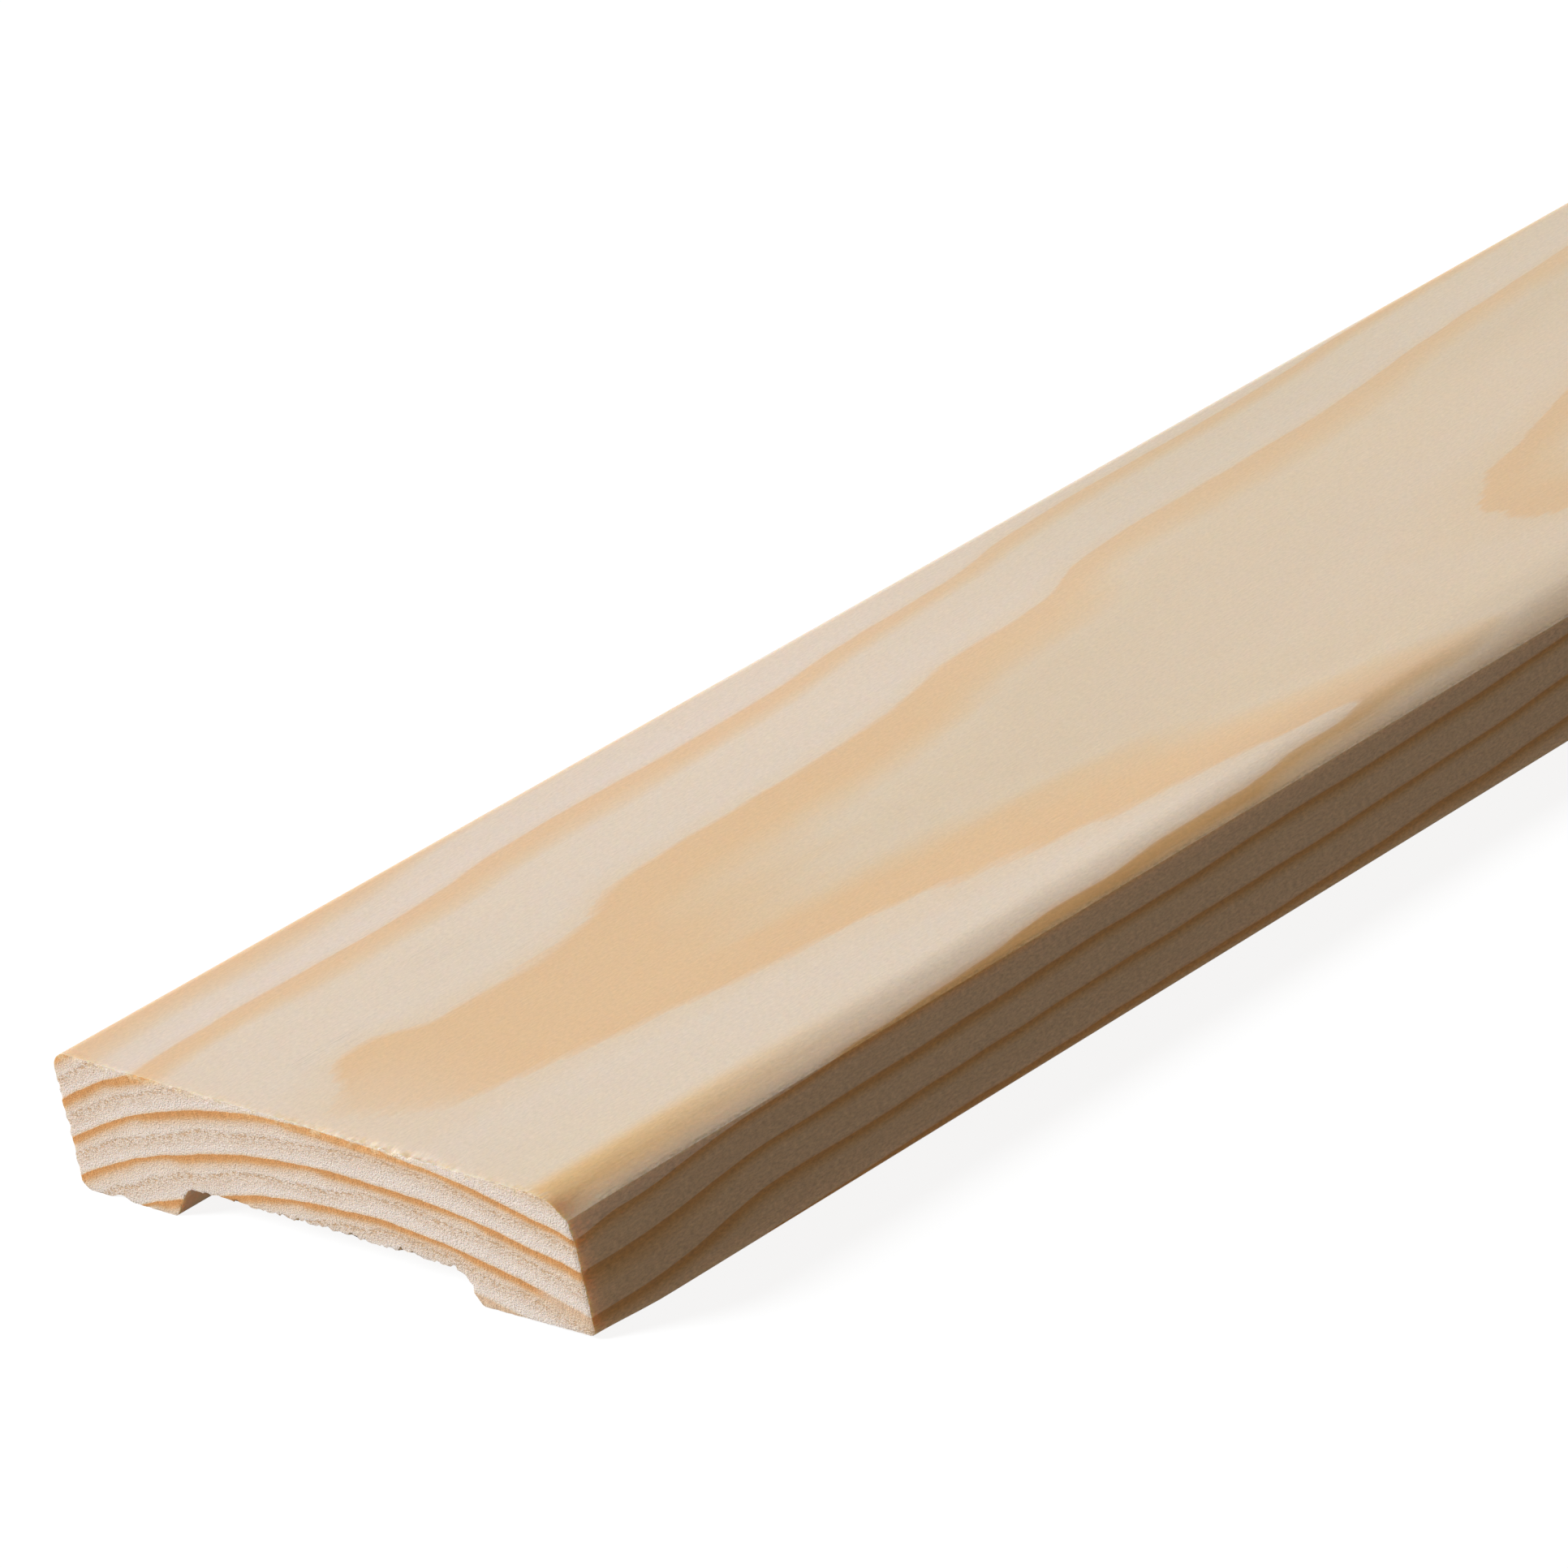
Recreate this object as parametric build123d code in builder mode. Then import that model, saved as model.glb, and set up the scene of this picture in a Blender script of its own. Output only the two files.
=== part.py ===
"""Pine trim strip: a flat door and window casing, sold as a straight stock length.

One piece of planed wood. The face is flat and leans a little, so the strip is thicker along
one long edge than along the other. The thick edge has a small round. Along the thin edge the
face bends down in a wide arc and stops at a crease against the side. The back has a wide,
shallow relief groove with splayed walls, which leaves two flat lands to bear on the wall.

Frame: +X along the length, +Y towards the thick edge, +Z out of the face. The origin is
midway along the strip, on the plane of the back lands, midway across the width.
Millimetres throughout.
"""

import os
from math import asin, atan2, cos, degrees, sin

from build123d import *

# Overall stock size
length = 2200.0
width = 60.0
thick_edge = 12.2
thin_edge = 11.6

# Round between the face and the thick edge
face_round = 1.8

# Shoulder along the thin edge: an arc that leaves the face smoothly and ends at the side
shoulder_run = 4.2
shoulder_radius = 7.2

# Eased outer corners of the back
thick_back_round = 1.0
thin_back_round = 0.4

# Relief groove in the back, between the two lands
thick_land = 11.5
thin_land = 12.5
groove_depth = 2.85
groove_wall_run = 2.2
groove_ceiling_round = 1.5
groove_mouth_round = 0.3

thick_side = width / 2
thin_side = -width / 2
start_end = -length / 2

# The face as a sloping line over the width
face_lean = atan2(thick_edge - thin_edge, width)
shoulder_start = thin_side + shoulder_run
shoulder_start_height = thin_edge + (thick_edge - thin_edge) * shoulder_run / width

# How far the shoulder turns before it reaches the side
shoulder_turn = asin(sin(face_lean) + shoulder_run / shoulder_radius) - face_lean

groove_thick_mouth = thick_side - thick_land
groove_thin_mouth = thin_side + thin_land
groove_thick_ceiling = groove_thick_mouth - groove_wall_run
groove_thin_ceiling = groove_thin_mouth + groove_wall_run

with BuildPart() as trim_strip:
    with BuildSketch(Plane.YZ.offset(start_end)) as section:
        with BuildLine():
            # Back and thin side, up to the crease, are closed by the last line
            face = Line((thick_side, thick_edge), (shoulder_start, shoulder_start_height))
            shoulder = JernArc(
                start=face @ 1,
                tangent=(-cos(face_lean), -sin(face_lean)),
                radius=shoulder_radius,
                arc_size=degrees(shoulder_turn),
            )
            Polyline(
                shoulder @ 1,
                (thin_side, 0),
                (groove_thin_mouth, 0),
                (groove_thin_ceiling, groove_depth),
                (groove_thick_ceiling, groove_depth),
                (groove_thick_mouth, 0),
                (thick_side, 0),
                (thick_side, thick_edge),
            )
        make_face()

        corners = section.vertices()
        across = corners.group_by(Axis.X)
        low_corners = corners.group_by(Axis.Y)[0].sort_by(Axis.X)
        ceiling_corners = corners.group_by(Axis.Y)[1]
        fillet(across[-1].sort_by(Axis.Y)[-1], face_round)
        fillet(low_corners[0], thin_back_round)
        fillet(low_corners[1:3], groove_mouth_round)
        fillet(low_corners[3], thick_back_round)
        fillet(ceiling_corners, groove_ceiling_round)
    extrude(amount=length)

trim_strip.part.label = "trim_strip"

os.makedirs("parts", exist_ok=True)
export_step(trim_strip.part, "parts/trim_strip.step")
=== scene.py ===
# %% [markdown]
# # A planed pine trim strip
#
# The real object is one straight piece of softwood casing. A moulder has planed its faces, and
# a saw has cut its ends square. Nothing is fixed to it, so the scene has a single piece.
#
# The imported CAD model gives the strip's place and size. This script makes a finer skin in the
# same place, with a torn saw cut at each end, and a wood that is the same tree on every side.

from math import asin, atan2, cos, degrees, pi, radians, sin, tan

import bmesh
import bpy
from mathutils import Matrix, Vector, noise


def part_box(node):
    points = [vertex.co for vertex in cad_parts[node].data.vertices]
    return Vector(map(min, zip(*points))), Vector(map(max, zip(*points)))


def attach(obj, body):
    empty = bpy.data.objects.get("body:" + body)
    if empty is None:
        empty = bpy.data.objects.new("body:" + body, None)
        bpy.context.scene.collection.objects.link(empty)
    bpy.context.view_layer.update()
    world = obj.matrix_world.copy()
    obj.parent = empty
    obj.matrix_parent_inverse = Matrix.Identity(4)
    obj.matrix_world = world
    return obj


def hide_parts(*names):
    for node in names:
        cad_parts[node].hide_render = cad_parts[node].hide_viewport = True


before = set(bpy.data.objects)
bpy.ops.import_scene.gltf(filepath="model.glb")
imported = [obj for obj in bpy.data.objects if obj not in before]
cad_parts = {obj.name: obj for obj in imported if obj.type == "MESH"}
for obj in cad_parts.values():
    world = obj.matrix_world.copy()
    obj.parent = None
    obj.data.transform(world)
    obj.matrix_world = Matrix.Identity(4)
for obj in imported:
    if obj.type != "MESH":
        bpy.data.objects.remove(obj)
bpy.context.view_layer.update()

# One millimetre, in Blender's metres
mm = 0.001
low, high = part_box("trim_strip")
print("The strip is", [round((b - a) / mm, 2) for a, b in zip(low, high)], "mm")

# %% [markdown]
# ## The section
#
# The section is the strip's whole character: a face that leans a little, a small round on the
# thick edge, a wide soft shoulder on the thin edge, and a shallow groove in the back. The CAD
# model holds the same sizes, but its skin is cut into few flats, and the shoulder would show
# them. So the section is drawn again here, with enough points in each curve.

# %% Sizes of the section, in millimetres
thick_edge = 12.2
thin_edge = 11.6
face_round = 1.8
shoulder_run = 4.2
shoulder_radius = 7.2
thick_back_round = 1.0
thin_back_round = 0.4
thick_land = 11.5
thin_land = 12.5
groove_depth = 2.85
groove_wall_run = 2.2
groove_ceiling_round = 1.5
groove_mouth_round = 0.3

near_end, far_end = low.x / mm, high.x / mm
thin_side, thick_side = low.y / mm, high.y / mm
width = thick_side - thin_side
length = far_end - near_end
face_lean = atan2(thick_edge - thin_edge, width)


def face_height(y):
    """Height of the planed face above the floor, at a place across the strip."""
    return thin_edge + (thick_edge - thin_edge) * (y - thin_side) / width


print("The face leans", round(degrees(face_lean), 2), "degrees")

# %% [markdown]
# The outline starts as a few corner points joined by edges. The shoulder is a single point spun
# round the arc's centre, because spin leaves a chain of edges behind it. The other rounds are
# vertex bevels on the flat section: a bevel's offset is measured along the edges, and a round of
# radius r on a corner that turns by an angle a starts r * tan(a / 2) from the corner.

# %% Draw the section at the near end
strip = bmesh.new()


def corner(y, z):
    """A point of the section at the near end, in millimetres."""
    return strip.verts.new((near_end, y, z))


def round_corner(point, radius, segments):
    """Round one corner of the flat section to a radius."""
    before, after = [edge.other_vert(point).co - point.co for edge in point.link_edges]
    turn = pi - before.angle(after)
    bmesh.ops.bevel(strip, geom=[point], affect="VERTICES", offset=radius * tan(turn / 2),
                    offset_type="OFFSET", segments=segments, profile=0.5, material=-1)


shoulder_y = thin_side + shoulder_run
shoulder_turn = asin(sin(face_lean) + shoulder_run / shoulder_radius) - face_lean
arc_centre = Vector((near_end,
                     shoulder_y + shoulder_radius * sin(face_lean),
                     face_height(shoulder_y) - shoulder_radius * cos(face_lean)))

thick_top = corner(thick_side, thick_edge)
thick_low = corner(thick_side, 0)
thick_mouth = corner(thick_side - thick_land, 0)
thick_ceiling = corner(thick_side - thick_land - groove_wall_run, groove_depth)
thin_ceiling = corner(thin_side + thin_land + groove_wall_run, groove_depth)
thin_mouth = corner(thin_side + thin_land, 0)
thin_low = corner(thin_side, 0)
shoulder_start = corner(shoulder_y, face_height(shoulder_y))

spun = bmesh.ops.spin(strip, geom=[shoulder_start], cent=arc_centre, axis=(1, 0, 0),
                      angle=shoulder_turn, steps=12)
crease = next(v for v in spun["geom_last"] if isinstance(v, bmesh.types.BMVert))
crease_height = crease.co.z

straight_run = [shoulder_start, thick_top, thick_low, thick_mouth, thick_ceiling,
                thin_ceiling, thin_mouth, thin_low, crease]
for start, stop in zip(straight_run, straight_run[1:]):
    strip.edges.new((start, stop))
bmesh.ops.contextual_create(strip, geom=strip.edges[:])

round_corner(thick_top, face_round, 7)
round_corner(thick_low, thick_back_round, 5)
round_corner(thin_low, thin_back_round, 3)
round_corner(thick_mouth, groove_mouth_round, 2)
round_corner(thin_mouth, groove_mouth_round, 2)
round_corner(thick_ceiling, groove_ceiling_round, 6)
round_corner(thin_ceiling, groove_ceiling_round, 6)
print("The section has", len(strip.verts), "points and", len(strip.faces), "face")

# %% [markdown]
# ## From section to strip
#
# Extruding the section gives the planed strip. The ends need fine faces, because a saw tears the
# fibres where it leaves the wood. Cutting the flat section into a grid first is quick, and the
# extrusion then carries the grid round to the sides, so no fine face meets a coarse one.

# %% Cut the section into a fine grid
grid_step = 0.25

# Points as near to a plane as this lie on it
touch = 0.01


def cut(point, normal):
    """Slice all faces by one plane."""
    bmesh.ops.bisect_plane(strip, geom=[*strip.verts, *strip.edges, *strip.faces], dist=touch,
                           plane_co=point, plane_no=normal)


for k in range(1, round(thick_edge / grid_step)):
    cut((0, 0, k * grid_step), (0, 0, 1))
for k in range(1, round(width / grid_step)):
    cut((0, thin_side + k * grid_step, 0), (0, 1, 0))
print("The sawn section has", len(strip.faces), "faces")

# %% [markdown]
# The extrusion keeps the first section as the near end and makes the far end from its copy. Then
# the strip is sliced across near both ends, closer and closer towards the cut, because the tears
# reach about a millimetre into the wood and the wear on the foot reaches eight.

# %% Extrude it to the full length
extruded = bmesh.ops.extrude_face_region(strip, geom=strip.faces[:], use_keep_orig=True)
far_points = [v for v in extruded["geom"] if isinstance(v, bmesh.types.BMVert)]
bmesh.ops.translate(strip, verts=far_points, vec=(length, 0, 0))
bmesh.ops.recalc_face_normals(strip, faces=strip.faces[:])

near_cuts = [0.15, 0.35, 0.6, 0.95, 1.4, 2.2, 3.4, 5.0, 7.0, 9.0]
far_cuts = [0.2, 0.5, 1.0, 2.0, 4.0]
for depth in near_cuts:
    cut((near_end + depth, 0, 0), (1, 0, 0))
for depth in far_cuts:
    cut((far_end - depth, 0, 0), (1, 0, 0))
print("The volume is", round(strip.calc_volume() / 1000), "cubic centimetres")
print("Open edges:", sum(not edge.is_manifold for edge in strip.edges))

# %% [markdown]
# ## The torn saw cut
#
# A saw blade enters the wood cleanly and leaves it with the fibres torn: here along the thick
# edge and under the groove. Sculpting this by hand would work for one picture. Moving the points
# by noise is quicker, it can be repeated on the far end, and it always leaves a closed skin.
# Every tear pulls the skin into the wood, never out of it, so the strip keeps its size.

# %% Choose the faces that the saw made
for face in strip.faces:
    at_near = all(v.co.x < near_end + touch for v in face.verts)
    at_far = all(v.co.x > far_end - touch for v in face.verts)
    face.material_index = 1 if at_near or at_far else 0
print("Sawn faces:", sum(face.material_index for face in strip.faces))


# %% [markdown]
# Each kind of tear is a depth times a few fades, which are 1 at the edge where it starts and 0
# where it ends. A fade that runs along the strip keeps all of them near the saw cut. The noises
# are only used above zero, so between two bites the edge stays as it was cut.

# %% How the fibres tear
def ragged(point, size):
    """Noise from about 0 to 1 with features of this size, in millimetres."""
    return 0.5 + 0.5 * noise.noise(point / size)


def fade(distance, reach):
    """1 at the edge itself, falling smoothly to 0 at the end of its reach."""
    left = min(1.0, max(0.0, 1 - distance / reach))
    return left * left * (3 - 2 * left)


thin_wall = thin_side + thin_land + groove_wall_run / 2
foot_notch_place = 25.2


def tear(point, depth):
    """How far a point near a sawn end is pulled into the wood, across and up."""
    coarse = max(0.0, noise.noise(point / 1.1) - 0.04)
    fine = max(0.0, noise.noise(point / 0.45) + 0.1)
    wavy = max(0.0, noise.noise(point / 1.5) + 0.02)
    edge_bite = (0.5 * wavy + 0.3 * fine) * fade(thick_side - point.y, 1.8)
    edge_bite *= fade(abs(point.z - 6), 7.5)
    ceiling_bite = (0.3 * coarse + 0.5 * fine) * fade(abs(point.z - groove_depth), 1.6)
    ceiling_bite *= fade(abs(point.y) - 13, 5)
    wall_bite = (0.6 * coarse + 0.7 * fine) * fade(abs(point.y - thin_wall), 2.6)
    wall_bite *= fade(abs(point.z - 1.5), 2.6)
    foot_notch = 0.4 * fade(abs(point.y - foot_notch_place), 1.5) * fade(point.z, 1.8)
    face_crumbs = (0.5 * coarse + 0.3 * fine) * fade(face_height(point.y) - point.z, 0.7)
    face_crumbs *= fade(abs(point.y + 10), 17)
    bite = Vector((0, -edge_bite - wall_bite, ceiling_bite + foot_notch - face_crumbs))
    return bite * fade(depth, 1.1)


def wear(point, depth):
    """The thin foot is worn off a little at its end, and so is the corner of the shoulder."""
    towards_side = min(1.0, max(0.0, (-12 - point.y) / 17))
    foot_lift = 0.36 * towards_side * fade(depth, 8) * fade(point.z, 4)
    from_crease = Vector((0, point.y - thin_side, point.z - crease_height)).length
    rubbed = fade(from_crease, 2.6) * fade(depth, 5)
    return Vector((0, 0.32 * rubbed, foot_lift - 0.26 * rubbed))


def set_back(point, depth, is_arris):
    """How far a point is pulled back along the strip: a furry face and eased arrises."""
    spot = Vector((0, point.y, point.z))
    furry = 0.02 + 0.06 * ragged(spot, 0.45) + 0.03 * ragged(spot, 2.5)
    if is_arris:
        furry += 0.1 * max(0.0, noise.noise(spot / 0.6) + 0.1)
        furry += 0.08 * fade(point.y - thin_side, 0.5)
    return furry * fade(depth, 1.2)


# %% [markdown]
# All moves are worked out first and made afterwards, so no point sees a neighbour that has
# already moved. The far end gets the same tears at less depth, and no wear.

# %% Tear both ends
arris_points = {v for e in strip.edges for v in e.verts
                if len({f.material_index for f in e.link_faces}) == 2}
moves = {}
for point in strip.verts:
    near_depth = point.co.x - near_end
    far_depth = far_end - point.co.x
    depth = min(near_depth, far_depth)
    if depth > near_cuts[-1] - touch:
        continue
    is_arris = depth > touch or point in arris_points
    back = set_back(point.co, depth, is_arris)
    if near_depth < far_depth:
        moves[point] = tear(point.co, depth) + wear(point.co, depth) + Vector((back, 0, 0))
    else:
        moves[point] = 0.7 * tear(point.co, depth) - Vector((back, 0, 0))
for point, move in moves.items():
    point.co += move
print("Points pulled in:", len(moves), "by at most",
      round(max(move.length for move in moves.values()), 2), "mm")

# %% [markdown]
# The mesh is scaled from millimetres to metres only now, so every size above reads as it would
# on a drawing. Long edges between a flat and a curve stay smooth, and an edge that turns by more
# than 30 degrees is marked sharp. A Weighted Normal modifier lets the wide flats decide the
# shading at their borders, so that a round doesn't tint the flat beside it.

# %% Make the strip's object
sharp_turn = radians(30)
for face in strip.faces:
    face.smooth = True
for edge in strip.edges:
    edge.smooth = edge.calc_face_angle(0) < sharp_turn
bmesh.ops.scale(strip, vec=(mm, mm, mm), verts=strip.verts[:])
mesh = bpy.data.meshes.new("planed_strip")
strip.to_mesh(mesh)
strip.free()
planed_strip = bpy.data.objects.new("planed_strip", mesh)
bpy.context.scene.collection.objects.link(planed_strip)
flats_lead = planed_strip.modifiers.new("flats_lead", "WEIGHTED_NORMAL")
flats_lead.keep_sharp = True
flats_lead.weight = 100
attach(planed_strip, "root")
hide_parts("trim_strip")
mesh.calc_loop_triangles()
print("Triangles:", len(mesh.loop_triangles))

# %% [markdown]
# ## A small language for shader maths
#
# The wood is described by formulas, and formulas read best as formulas. A Wire wraps one socket,
# and Python's own operators on a Wire add the Math nodes. Every other node comes from one
# method, which takes the node's type, its settings and what goes into its sockets.


# %% Wires and finishes
class Wire:
    """A value on its way through a node tree."""

    def __init__(self, finish, socket):
        self.finish = finish
        self.socket = socket

    def math(self, operation, *others):
        return self.finish.math(operation, self, *others)

    def __add__(self, other):
        return self.math("ADD", other)

    def __sub__(self, other):
        return self.math("SUBTRACT", other)

    def __mul__(self, other):
        return self.math("MULTIPLY", other)

    def __truediv__(self, other):
        return self.math("DIVIDE", other)

    def __pow__(self, other):
        return self.math("POWER", other)

    def __rsub__(self, other):
        return self.finish.math("SUBTRACT", other, self)

    def __rtruediv__(self, other):
        return self.finish.math("DIVIDE", other, self)

    __radd__ = __add__
    __rmul__ = __mul__

    def least(self, other):
        return self.math("MINIMUM", other)

    def most(self, other):
        return self.math("MAXIMUM", other)

    def step_up(self, start, stop):
        """0 before start, 1 after stop, and a smooth rise between them."""
        return self.finish.node("ShaderNodeMapRange", {"interpolation_type": "SMOOTHSTEP"},
                                {"Value": self, "From Min": start, "From Max": stop})

    def step_down(self, start, stop):
        return 1 - self.step_up(start, stop)


class Finish:
    """The nodes of a material or of the sky, and the means to add more."""

    def __init__(self, owner):
        owner.use_nodes = True
        self.tree = owner.node_tree
        self.tree.nodes.clear()

    def node(self, kind, settings=None, inputs=None, output=None):
        made = self.tree.nodes.new(kind)
        for name, value in (settings or {}).items():
            if name == "stops":
                self.fill_ramp(made.color_ramp.elements, value)
            elif name == "points":
                self.fill_curve(made.mapping, value)
            else:
                setattr(made, name, value)
        for name, value in (inputs or {}).items():
            named = [s for s in made.inputs if s.enabled and s.name == name]
            socket = made.inputs[name] if isinstance(name, int) else named[0]
            if isinstance(value, Wire):
                self.tree.links.new(value.socket, socket)
            else:
                socket.default_value = value
        shown = [s for s in made.outputs if s.enabled and output in (None, s.name)]
        return Wire(self, shown[0]) if shown else made

    def fill_ramp(self, elements, stops):
        for k, (place, colour) in enumerate(stops):
            stop = elements[k] if k < 2 else elements.new(place)
            stop.position = place
            stop.color = colour

    def fill_curve(self, mapping, points):
        curve = mapping.curves[0]
        for k, (place, value) in enumerate(points):
            point = curve.points[k] if k < 2 else curve.points.new(place, value)
            point.location = (place, value)
        mapping.update()

    def math(self, operation, *values):
        return self.node("ShaderNodeMath", {"operation": operation}, dict(enumerate(values)))

    def blend(self, share, first, second, mode="MIX"):
        """Mix two colours."""
        return self.node("ShaderNodeMix", {"data_type": "RGBA", "blend_type": mode},
                         {"Factor": share, "A": first, "B": second})

    def vector(self, x, y, z):
        return self.node("ShaderNodeCombineXYZ", inputs={"X": x, "Y": y, "Z": z})

    def noise(self, place, detail=2.0, roughness=0.5):
        """Noise around 0, from about -0.5 to 0.5, with features one unit in size."""
        return self.node("ShaderNodeTexNoise", {"noise_dimensions": "3D"},
                         {"Vector": place, "Scale": 1.0, "Detail": detail, "Roughness": roughness},
                         "Fac") - 0.5


def colour(red, green, blue):
    """A colour as a picture editor shows it, 0 to 255, made linear for the shader."""
    share = [channel / 255 for channel in (red, green, blue)]
    return (*[((c + 0.055) / 1.055) ** 2.4 if c > 0.04045 else c / 12.92 for c in share], 1)


# %% [markdown]
# ## One tree for every side
#
# Photographs of wood wrapped round a strip never meet at the edges. Real wood is solid: the face,
# the sides and the sawn end all cut the same growth rings. So one formula says, for any point in
# the strip, how many rings it lies below the bark side, and every surface just shows its value.
#
# On this strip the rings arch over the middle of the section and climb slowly towards the face
# on the way along. Where a ring's crest breaks through the face, it draws the long tongue. The
# sawn end shows a scrap of ring 8 at the top of the thick edge, then 9, which is called the first
# here, 10, the second, and so on down to 13.
#
# The climb isn't even, because a tree grows in bends. Two curves hold it, one for each half of
# the section, and all other waves are noise.

# %% How the rings lie in the strip, in millimetres
crest_across = 32.0
crest_depth = 0.12
fall_to_thick_edge = 7.6
fall_to_thin_edge = 3.2
arch_power = 2.2
second_gap = 3.5
first_gap = 3.75

# Places along the strip and how far the rings have climbed there, in its thick and thin halves
climb_thick_half = [(0, 0), (10, 0.3), (18, 0.26), (31, 0.3), (43, 0.75), (58, 0.84), (74, 0.95),
                    (83, 1.4), (95, 1.6), (107, 2.4), (138, 2.75), (152, 3.4), (200, 4.7)]
climb_thin_half = [(0, 0), (9, 0.26), (22, 0.5), (38, 0.79), (54, 1.1), (68, 1.42), (83, 1.82),
                   (94, 2.2), (107, 2.75), (121, 3.38), (160, 5.0), (200, 6.2)]
curve_along = 200.0
curve_climb = 6.5
later_climb = 0.021


class Tree:
    """The growth rings in the solid wood, for one finish."""

    def __init__(self, finish):
        self.finish = finish
        self.place = finish.node("ShaderNodeTexCoord", output="Object")
        x, y, z = [finish.node("ShaderNodeSeparateXYZ", inputs={"Vector": self.place}, output=axis)
                   for axis in "XYZ"]
        self.along = x / mm - near_end
        self.across = thick_side - y / mm
        self.depth = thick_edge - self.across * ((thick_edge - thin_edge) / width) - z / mm
        self.side_lift = 0.45 * self.across.step_up(56.5, 59.5) * self.along.step_up(0.5, 5)
        self.rings = self.count_rings()
        self.age = self.rings - self.rings.math("FLOOR")

    def stretched(self, along, across, depth):
        """A place for a noise whose features have this size along, across and in depth."""
        return self.finish.vector(self.along / along, self.across / across, self.depth / depth)

    def noise(self, along, across, depth, detail=2.0, roughness=0.5):
        return self.finish.noise(self.stretched(along, across, depth), detail, roughness)

    def climb(self, points):
        scaled = [(place / curve_along, climb / curve_climb) for place, climb in points]
        return self.finish.node("ShaderNodeFloatCurve", {"points": scaled},
                                {"Value": (self.along / curve_along).least(1.0)}) * curve_climb

    def climb_here(self):
        """How far the rings have climbed towards the face at this place along the strip."""
        thin_share = self.across.step_up(22, 40)
        thick_climb = self.climb(climb_thick_half)
        climb = thick_climb + (self.climb(climb_thin_half) - thick_climb) * thin_share
        near_thin_side = self.along.step_up(6, 20) * self.along.step_down(40, 130)
        climb = climb + 0.9 * near_thin_side * self.across.step_up(46, 60)
        climb = climb + self.side_lift
        knob = self.along.step_up(5, 10) * self.along.step_down(12, 18)
        climb = climb + 0.2 * knob * self.across.step_up(19, 25) * self.across.step_down(28, 33)
        leaning = 0.05 * (self.across.most(37).least(46) - 37)
        climb = climb + leaning * self.along.step_up(100, 120)
        beyond = (self.along - curve_along).most(0)
        wander = self.noise(420, 90, 60, 1.0) * 9
        return climb + beyond * later_climb + wander * self.along.step_up(180, 420)

    def arch_here(self):
        """How deep the second ring lies here below its crest."""
        to_thick = ((crest_across - self.across) / crest_across).most(0) ** arch_power
        to_thin = ((self.across - crest_across) / (width - crest_across)).most(0) ** arch_power
        return crest_depth + fall_to_thick_edge * to_thick + fall_to_thin_edge * to_thin

    def ripple_here(self):
        """The small waves that every ring has."""
        ripple = self.noise(22, 5, 3) * 0.3 + self.noise(6, 1.4, 0.9) * 0.12
        ripple = ripple + self.noise(13, 6, 7, 1.0) * self.across.step_up(50, 58) * 0.7
        return ripple + self.noise(16, 0.55, 2.5, 1.0) * 0.1

    def count_rings(self):
        """Rings from the bark side down to here: the second ring starts at 10."""
        under = self.depth + self.climb_here() - self.arch_here() + self.ripple_here()

        third_gap = (3.35 + self.across * 0.0375).least(4.36 - self.across * 0.0293)
        third_gap = third_gap + self.side_lift + 0.2 * self.along.step_up(92, 114)
        later_gap = 3.02 + (self.across - 37.2).math("ABSOLUTE") * 0.0325
        later_gap = later_gap - 0.4 * self.along.step_up(8, 20) * self.across.step_up(54, 59)
        above_second = under.least(0).most(-second_gap) / second_gap
        above_first = (under + second_gap).least(0) / first_gap
        in_third = under.most(0).least(third_gap) / third_gap
        below = (under - third_gap).most(0) / later_gap
        return 10 + above_second + above_first + in_third + below


print("The rings climb", climb_thin_half[-1][1], "mm over the first", curve_along, "mm")

# %% [markdown]
# ## The planed faces
#
# Within a ring, pale spring wood turns to straw colour towards the dense orange summer wood,
# which stops at once where the next spring began. A colour ramp over one ring holds exactly
# that. The face cuts the rings almost flat, so it shows the summer wood wide and pale. The side
# cuts them square, and there the same wood looks narrow and deep.

# %% Colours over one ring, from the bark side inwards
face_ring = [
    (0.0, colour(220, 195, 167)),
    (0.03, colour(219, 184, 144)),
    (0.17, colour(219, 185, 145)),
    (0.27, colour(218, 191, 157)),
    (0.38, colour(218, 200, 177)),
    (0.9, colour(219, 202, 183)),
    (1.0, colour(219, 199, 175)),
]
side_ring = [
    (0.0, colour(208, 174, 134)),
    (0.02, colour(200, 160, 108)),
    (0.1, colour(202, 164, 113)),
    (0.2, colour(213, 187, 150)),
    (0.34, colour(220, 203, 180)),
    (0.94, colour(220, 204, 184)),
    (1.0, colour(214, 188, 158)),
]

# %% Show the rings on the planed faces
planed_softwood = bpy.data.materials.new("planed_softwood")
planed = Finish(planed_softwood)
wood = Tree(planed)
on_side = wood.across.step_up(59.6, 59.95)
middle = wood.across.step_up(24, 32) * wood.across.step_down(38, 46)
far_along = wood.along.step_up(60, 110)

uneven = (wood.noise(45, 9, 4) * 1.6 + middle * 0.4) * wood.across.step_up(1.5, 7)
age = (wood.age + uneven * wood.age * (1 - wood.age)).most(0).least(1)
age = age ** (1 - 0.18 * far_along * (1 - on_side))
full_near_end = 0.42 * wood.rings.step_down(8.6, 8.9) * wood.along.step_down(20, 50)
age = age * (1 - full_near_end - 0.3 * on_side * wood.along.step_down(4, 25))

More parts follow.
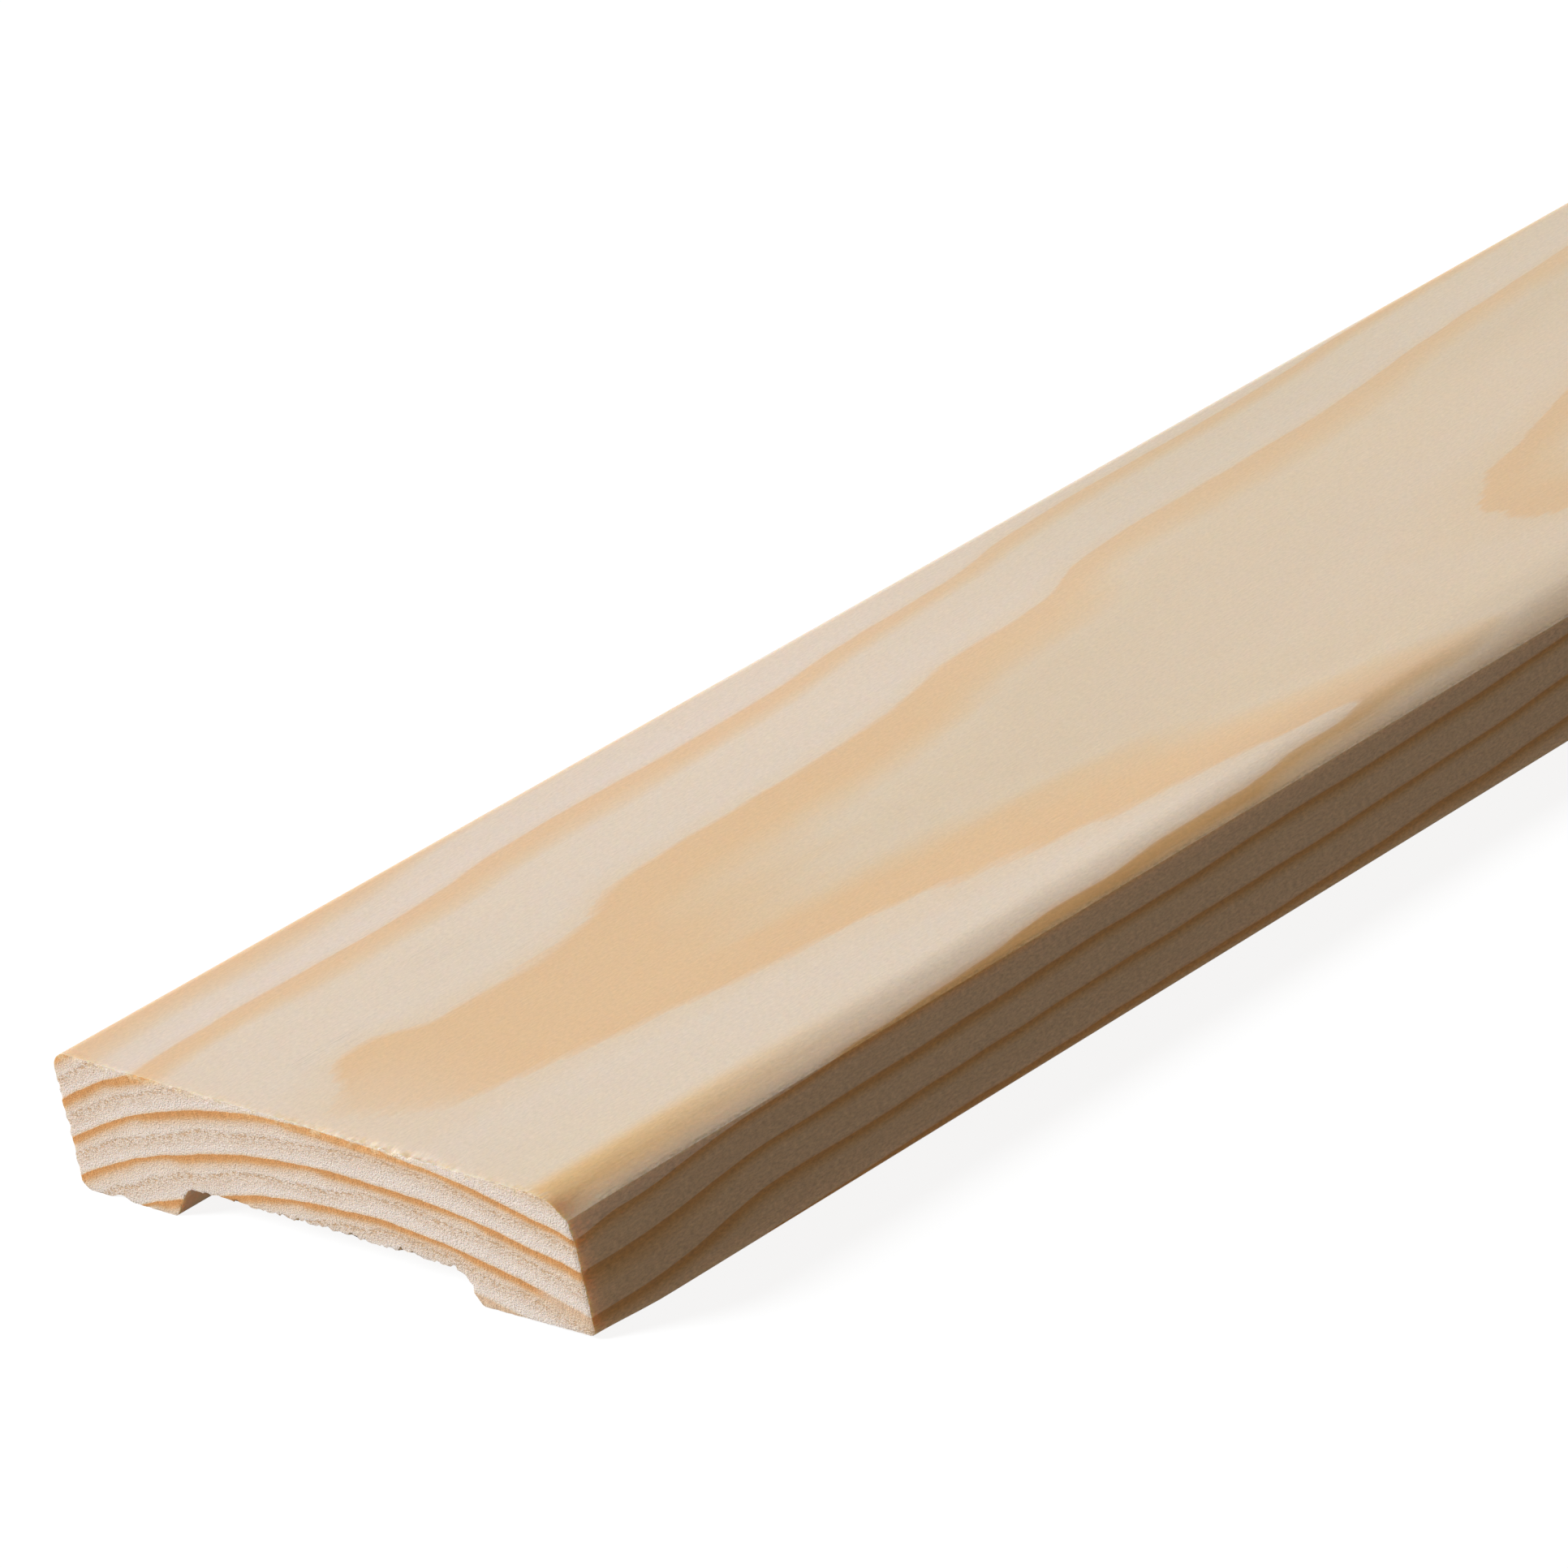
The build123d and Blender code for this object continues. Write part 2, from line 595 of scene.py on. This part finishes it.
face_colour = planed.node("ShaderNodeValToRGB", {"stops": face_ring}, {"Fac": age}, "Color")
side_colour = planed.node("ShaderNodeValToRGB", {"stops": side_ring}, {"Fac": age}, "Color")
thick_flank = wood.across.step_down(0, 1.5) * wood.depth.step_up(0.8, 2.0)
squarely = (wood.across.step_up(55.5, 59.5) + thick_flank).least(1)
ring_colour = planed.blend(squarely, face_colour, side_colour)
print("Ring colours:", len(face_ring), "on the face and", len(side_ring), "on the side")

# %% [markdown]
# No ring keeps one colour over a whole board. The wood darkens towards the heart, the outer wood
# is paler, and a colour fades where the face runs almost along its ring. Each of these is a place
# on the strip, made of steps along and across, and a tint that is mixed in there.

# %% Tint the wood from place to place
# Below the second ring the wood is a little duller
heart = wood.rings.step_up(10.1, 10.45)
ring_colour = planed.blend(heart * 0.6, ring_colour, colour(240, 234, 222), "MULTIPLY")

# Further along, the rings lie flatter under the face and their colours are softer
faded = far_along * (1 - squarely) * 0.22
ring_colour = planed.blend(faded, ring_colour, colour(218, 199, 175))

# The tongue starts faintly
tip = wood.along.step_down(2, 17) * middle
ring_colour = planed.blend(tip * 0.5, ring_colour, colour(220, 200, 177))

# The outer wood, towards the thick edge, is paler at first and duller further on
pale_side = wood.across.step_down(6, 24) * wood.along.step_down(60, 130)
ring_colour = planed.blend(pale_side, ring_colour, (1.03, 1.035, 1.09, 1), "MULTIPLY")
dull_edge = wood.across.step_down(10, 22) * wood.along.step_up(70, 130)
ring_colour = planed.blend(dull_edge, ring_colour, (0.925, 0.93, 0.92, 1), "MULTIPLY")
dull_shoulder = wood.along.step_up(60, 95) * wood.across.step_up(51, 56) * (1 - on_side)
ring_colour = planed.blend(dull_shoulder, ring_colour, (0.89, 0.89, 0.9, 1), "MULTIPLY")
print("Nodes after the tints:", len(planed.tree.nodes))

# %% [markdown]
# The start of the shoulder, near the sawn end, is mixed towards a warm golden tone, and the saw
# has bent the fibres over along its cut. The fringe's reach is a noise drawn out along the strip,
# so that it ends in points and not in a line.

# %% Add the golden start of the shoulder and the fringe
golden_shoulder_start = wood.across.step_up(54.5, 56.8) * wood.across.step_down(58, 60.4)
golden_shoulder_start = golden_shoulder_start * wood.along.step_down(3, 42)
ring_colour = planed.blend(golden_shoulder_start * 0.9, ring_colour, colour(222, 184, 131))

fringe_reach = 0.5 + wood.noise(4, 0.6, 1, 3.0, 0.7) * 3.2
fringe = (wood.along - fringe_reach).step_down(-0.5, 0.4)
fringe_tone = wood.noise(0.9, 0.5, 0.5, 1.0).step_up(-0.1, 0.1)
fringe_colour = planed.blend(fringe_tone, colour(217, 194, 154), colour(221, 206, 188))
patches = wood.noise(6, 3, 3, 1.0).step_up(-0.14, 0.12) * wood.across.step_up(10, 26)
ring_colour = planed.blend(fringe * patches * 0.75, ring_colour, fringe_colour)

# %% [markdown]
# Fibres, pores and clouds change the wood's brightness and not its colour, so they are added up
# in one number, the shade. The noises are long along the strip and thin across it, as fibres are.

# %% Shade the fibres and the marks of the cutter
fibre = wood.noise(3.0, 0.2, 0.2, 3.0, 0.6)
speckle = wood.noise(0.5, 0.2, 0.2, 2.0, 0.7)
cloud = wood.noise(60, 14, 10)
tick_places = wood.noise(9, 5, 5, 1.0).step_up(0.16, 0.24)
ticks = tick_places * wood.noise(4.0, 0.14, 0.3, 1.0)
speckle = speckle * (1 + on_side * 1.8)
shade = 1 + fibre * 0.15 + speckle * 0.36 + cloud * 0.06 + ticks * 0.2

# Two places where the cutter left a few fine dark scratches
first_nick = wood.along.step_up(5.5, 8) * wood.along.step_down(13.5, 16.5)
first_nick = first_nick * wood.across.step_up(20.6, 21.4) * wood.across.step_down(22.6, 23.4)
second_nick = wood.along.step_up(22, 25) * wood.along.step_down(28, 31)
second_nick = second_nick * wood.across.step_up(15.2, 16.2) * wood.across.step_down(18.2, 19.4)
scratches = wood.noise(7, 0.17, 9, 1.0).step_up(0.02, 0.14) * (first_nick + second_nick * 0.6)
shade = shade - scratches * 0.11

# Painted light brightens the shoulder's bend, and the arris at the saw cut is crumbly
lit_crease_band = wood.across.step_up(58, 59.4) * (1 - on_side)
shade = shade + 0.06 * lit_crease_band
at_arris = wood.along.step_down(0.25, 1.3) * (1 - on_side)
shade = shade + at_arris * wood.noise(0.4, 0.5, 0.4, 2.0, 0.65) * 0.38

# %% [markdown]
# Light that entered the sawn end comes out again just round the corner, and warms the dark side.
# Its red part travels furthest, so the warm tone raises red more than green, and green more than
# blue. The wall of the groove behind the end gets some light too, thrown about under the strip.

# %% Let the light through at the corners
warm = on_side * (wood.along.step_down(0.2, 2.8) * 0.17 + wood.along.step_down(2, 9) * 0.04)
# Painted warm light also lies along the lower shoulder, just above the crease
warm = warm + 0.06 * wood.across.step_up(57.6, 59) * (1 - on_side)
groove_wall = wood.depth.step_up(8.9, 9.3) * wood.across.step_down(14, 15)
groove_wall = groove_wall * wood.along.step_down(6, 20)
shade = shade + groove_wall * 0.25
# Painted floor light lightens the lower side, and a noise mottles the whole side
side_bounce_and_mottle = wood.depth.step_up(9.6, 11.8) * 0.13 + wood.noise(1.6, 0.7, 0.7) * 0.12
shade = shade * (1 + on_side * side_bounce_and_mottle)
tone = planed.vector(shade * (1 + warm), shade * (1 + warm * 0.8), shade * (1 + warm * 0.6))
wood_colour = planed.node("ShaderNodeVectorMath", {"operation": "MULTIPLY"},
                          {0: ring_colour, 1: tone})

# %% [markdown]
# Planed softwood is matt but not dull, and the dense summer wood shines a little more than the
# rest. The fibres' relief is a few hundredths of a millimetre, so it is left to a Bump node. A
# Bump node works out its height three times over, so the height is kept to three cheap noises.
# Some subsurface light softens the wood, as it does in the real thing.

# %% Finish the planed wood
summer = age.step_down(0.15, 0.35)
height = fibre * 0.02 + speckle * 0.02 + ticks * 0.03
planed_bump = planed.node("ShaderNodeBump",
                          inputs={"Strength": 0.7, "Distance": mm, "Height": height})
roughness = 0.66 - summer * 0.1 + speckle * 0.15
glow_radius = (1.0, 0.55, 0.3)
glow_scale = 2.0 * mm
surface = planed.node("ShaderNodeBsdfPrincipled",
                      inputs={"Base Color": wood_colour, "Normal": planed_bump,
                              "Roughness": roughness, "Specular IOR Level": 0.22,
                              "Subsurface Weight": 0.6, "Subsurface Radius": glow_radius,
                              "Subsurface Scale": glow_scale})
planed.node("ShaderNodeOutputMaterial", inputs={"Surface": surface})
mesh.materials.append(planed_softwood)
print("Nodes in the planed finish:", len(planed.tree.nodes))

# %% [markdown]
# ## The sawn ends
#
# End grain shows the same rings from their ends. The summer wood is far darker here, because
# light runs down the open fibres and isn't sent back. Fine pale hair lines cross it: they are
# the rays, which run from the heart to the bark. The saw leaves the soft spring wood furry, with
# crumbly streaks that follow the rings.

# %% Colours of the sawn wood over one ring, from the bark side inwards
sawn_ring = [
    (0.0, colour(221, 184, 148)),
    (0.02, colour(201, 142, 87)),
    (0.11, colour(204, 149, 97)),
    (0.17, colour(210, 166, 122)),
    (0.23, colour(219, 188, 158)),
    (0.33, colour(223, 201, 180)),
    (0.48, colour(227, 211, 197)),
    (0.92, colour(227, 211, 198)),
    (1.0, colour(222, 198, 173)),
]

# %% Show the rings on the sawn ends
sawn_end_grain = bpy.data.materials.new("sawn_end_grain")
sawn = Finish(sawn_end_grain)
grain = Tree(sawn)
tangent = grain.across + (grain.across - crest_across) * grain.depth * 0.013
hair = sawn.noise(sawn.vector(tangent / 0.17, grain.depth / 1.5, grain.along / 4), 2.0, 0.65)
crumb = grain.noise(0.35, 0.2, 0.16, 3.0, 0.7)
grit = grain.noise(0.2, 0.12, 0.12, 1.0)

# %% [markdown]
# On the end, the summer wood of a ring isn't one even line. It lies in long lenses: each one is
# full where it starts and thins out towards the thin side, where the next one takes over. A
# sawtooth across the strip does that, with a shift for each ring. Dividing the age by a lens's
# fullness makes the line thinner and leaves its sharp bark side where it is.

# %% Draw the summer wood as long lenses
line = grain.rings.math("FLOOR")
lens_place = (grain.across + (line - 11).math("ABSOLUTE") * 3.0 - 30.5) / 18.5
lens_place = lens_place + sawn.noise(sawn.vector(tangent / 15, line * 3.7, 0.5), 1.0) * 0.2
lens = lens_place - lens_place.math("FLOOR")
fullness = (0.4 + 0.6 * lens.step_up(0.0, 0.12)) * (1.32 - 0.82 * lens.step_up(0.5, 1.0))
thin_lines = (line - 10).most(0).least(1) * grain.across.step_down(9, 13)
fullness = fullness * (1 - 0.4 * thin_lines)
thick_lines = grain.rings.step_down(9.75, 9.95)
left = 1 - grain.age
thinned = 1 + (1 / fullness - 1) * left ** 5.0
thickened = 1 - 0.4 * thick_lines * left ** 2.0
frayed = grain.age * thinned * thickened
frayed = frayed + (crumb * 0.3 + hair * 0.25) * grain.age * left
end_colour = sawn.node("ShaderNodeValToRGB", {"stops": sawn_ring},
                       {"Fac": frayed.most(0).least(1)}, "Color")
dense = frayed.step_up(0.0, 0.02) * frayed.step_down(0.1, 0.26)

# The lowest lines are faint, and those just under the face let light through
low_corner = grain.rings.step_up(11.9, 12) * grain.across.step_up(53.5, 56)
faint = (grain.rings.step_up(12.9, 13) + low_corner).least(1) * frayed.step_down(0.2, 0.35)
end_colour = sawn.blend(faint * 0.72, end_colour, colour(214, 189, 164))
near_face = grain.depth.step_down(0.5, 1.6)
end_colour = sawn.blend(near_face * dense * 0.5, end_colour, colour(222, 168, 112))

# %% [markdown]
# The saw plucks the soft spring wood, and what it plucks comes out in rows that follow the rings.
# Each row is a band of ring age that wavers along the ring. Fine noise breaks it into crumbs,
# with tanner wood and a few bright specks on its inner side.

# %% Leave rows of crumbs
wobble = sawn.noise(sawn.vector(tangent / 9, grain.rings * 1.1, grain.along / 12), 2.0)
row_place = 0.5 - 0.16 * grain.across.step_up(30, 40) + wobble * 0.45
from_row = grain.age - row_place + crumb * 0.12
row = from_row.step_up(-0.09, 0.0) * from_row.step_down(0.05, 0.16)
tan_zone = from_row.step_up(-0.06, 0.04) * from_row.step_down(0.15, 0.42)
specks = sawn.noise(sawn.vector(tangent / 0.42, grain.depth / 0.2, grain.along / 0.2), 2.0, 0.6)
crumbly = row * (0.16 + specks.step_up(-0.06, 0.1) * 0.75)
crumbly = crumbly.most(tan_zone * (0.25 + specks.step_up(-0.02, 0.16) * 0.4))
end_colour = sawn.blend(crumbly, end_colour, colour(202, 167, 132))
bright = tan_zone * specks.step_down(-0.2, -0.06) * 0.5
end_colour = sawn.blend(bright, end_colour, colour(236, 214, 188))

# Yellow crumbs hang along the arris under the face
crumb_places = grain.noise(1.2, 1.0, 0.6, 2.0).step_up(-0.02, 0.12)
arris_crumbs = grain.depth.step_down(0.1, 0.9) * crumb_places
end_colour = sawn.blend(arris_crumbs * 0.55, end_colour, colour(221, 200, 163))

# %% [markdown]
# The end is far rougher than the face: it hardly shines, and its relief is several times as deep.
# The crumbs leave pits, and the dense lines between them stay smoother.

# %% Finish the sawn wood
broken = grain.depth.step_down(0.15, 1.1) * grain.noise(0.4, 0.6, 0.3, 2.0, 0.7)
end_shade = 1.02 + crumb * 0.24 + grit * 0.45 + hair * (0.1 + dense * 0.7) + broken * 0.5
end_tone = sawn.vector(end_shade, end_shade, end_shade)
end_wood = sawn.node("ShaderNodeVectorMath", {"operation": "MULTIPLY"},
                     {0: end_colour, 1: end_tone})
end_height = crumb * (0.12 - dense * 0.08) + hair * 0.04 + grit * 0.06 - crumbly * 0.04
sawn_bump = sawn.node("ShaderNodeBump",
                      inputs={"Strength": 0.9, "Distance": mm, "Height": end_height})
end_surface = sawn.node("ShaderNodeBsdfPrincipled",
                        inputs={"Base Color": end_wood, "Normal": sawn_bump,
                                "Roughness": 0.9 - dense * 0.15, "Specular IOR Level": 0.15,
                                "Subsurface Weight": 0.15, "Subsurface Radius": glow_radius,
                                "Subsurface Scale": glow_scale})
sawn.node("ShaderNodeOutputMaterial", inputs={"Surface": end_surface})
mesh.materials.append(sawn_end_grain)
print("Nodes in the sawn finish:", len(sawn.tree.nodes))

# %% [markdown]
# ## Floor, light and camera
#
# The strip lies on a plain pale floor that runs out to white. A white floor would also throw
# light back at the shaded side, which is dark and warm in the photograph. So the floor is white
# only to the eye and in reflections, and gives a dim warm light to everything else. Part of its
# whiteness is its own glow, which keeps the strip's shadow light.

# %% Lay the floor
floor_reach = 6.0
floor_bmesh = bmesh.new()
bmesh.ops.create_grid(floor_bmesh, x_segments=1, y_segments=1, size=floor_reach)
floor_mesh = bpy.data.meshes.new("floor")
floor_bmesh.to_mesh(floor_mesh)
floor_bmesh.free()
floor = bpy.data.objects.new("floor", floor_mesh)
floor.location.z = low.z - 0.02 * mm
bpy.context.scene.collection.objects.link(floor)


def seen_directly(finish):
    """1 for light that goes to the eye straight, by a mirror or through glass, and 0 otherwise."""
    paths = [finish.node("ShaderNodeLightPath", output=name)
             for name in ("Is Camera Ray", "Is Glossy Ray", "Is Transmission Ray")]
    return paths[0].most(paths[1]).most(paths[2])


warm_fill = (0.24, 0.19, 0.15, 1)
warm_bounce = (0.21, 0.165, 0.13, 1)

pale_floor = bpy.data.materials.new("pale_floor")
pale = Finish(pale_floor)
seen = seen_directly(pale)
floor_colour = pale.blend(seen, (0.02, 0.02, 0.02, 1), (0.15, 0.15, 0.15, 1))
matt = pale.node("ShaderNodeBsdfDiffuse", inputs={"Color": floor_colour})
floor_glow = pale.blend(seen, warm_bounce, (0.88, 0.88, 0.88, 1))
glow = pale.node("ShaderNodeEmission", inputs={"Color": floor_glow, "Strength": 1.0})
pale.node("ShaderNodeOutputMaterial",
          inputs={"Surface": pale.node("ShaderNodeAddShader", inputs={0: matt, 1: glow})})
floor_mesh.materials.append(pale_floor)

# %% [markdown]
# The light comes from beyond the corner of the thick edge and the sawn end, so the face and the
# end are bright and the thin side lies in the shade. A sun lamp as wide as 22 degrees gives the
# soft shadows of a large window. The sky only fills in, and like the floor it is white to the eye
# and dim and warm to the strip.

# %% Light the studio
key_colour = (0.894, 0.953, 1.0)
key_strength = 4.66
key_softness = 22
key_from = Vector((-1.04, 0.98, 1.0)).normalized()

world = bpy.data.worlds.new("studio")
bpy.context.scene.world = world
sky = Finish(world)
sky_colour = sky.blend(seen_directly(sky), warm_fill, (1, 1, 1, 1))
sky_shader = sky.node("ShaderNodeBackground", inputs={"Color": sky_colour, "Strength": 1.0})
sky.node("ShaderNodeOutputWorld", inputs={"Surface": sky_shader})

key = bpy.data.lights.new("key", "SUN")
key.color = key_colour
key.energy = key_strength
key.angle = radians(key_softness)
key_lamp = bpy.data.objects.new("key", key)
key_lamp.rotation_euler = key_from.to_track_quat("Z", "Y").to_euler()
bpy.context.scene.collection.objects.link(key_lamp)
print("The key light stands", round(degrees(asin(key_from.z))), "degrees above the floor")

# %% [markdown]
# The photograph was taken with a long lens, from above the sawn end, with the camera rolled a
# little. Its place was worked out from the strip's parallel edges, which all run to one vanishing
# point. Azimuth turns from +Y to +X, elevation looks down, and roll tips the camera sideways.

# %% Set up the camera
camera_place = Vector((-1488.57, -533.40, 309.86)) * mm
azimuth, elevation, roll = radians(39.680), radians(22.941), radians(12.049)
lens = 218.01

camera = bpy.data.cameras.new("camera")
camera.lens = lens
camera.sensor_width = 36
camera.clip_start, camera.clip_end = 0.05, 30
camera_object = bpy.data.objects.new("camera", camera)
camera_object.location = camera_place
turn = Matrix.Rotation(-azimuth, 4, "Z") @ Matrix.Rotation(radians(90) - elevation, 4, "X")
camera_object.rotation_euler = (turn @ Matrix.Rotation(-roll, 4, "Z")).to_euler()
bpy.context.scene.collection.objects.link(camera_object)
bpy.context.scene.camera = camera_object
bpy.context.scene.view_settings.view_transform = "Standard"
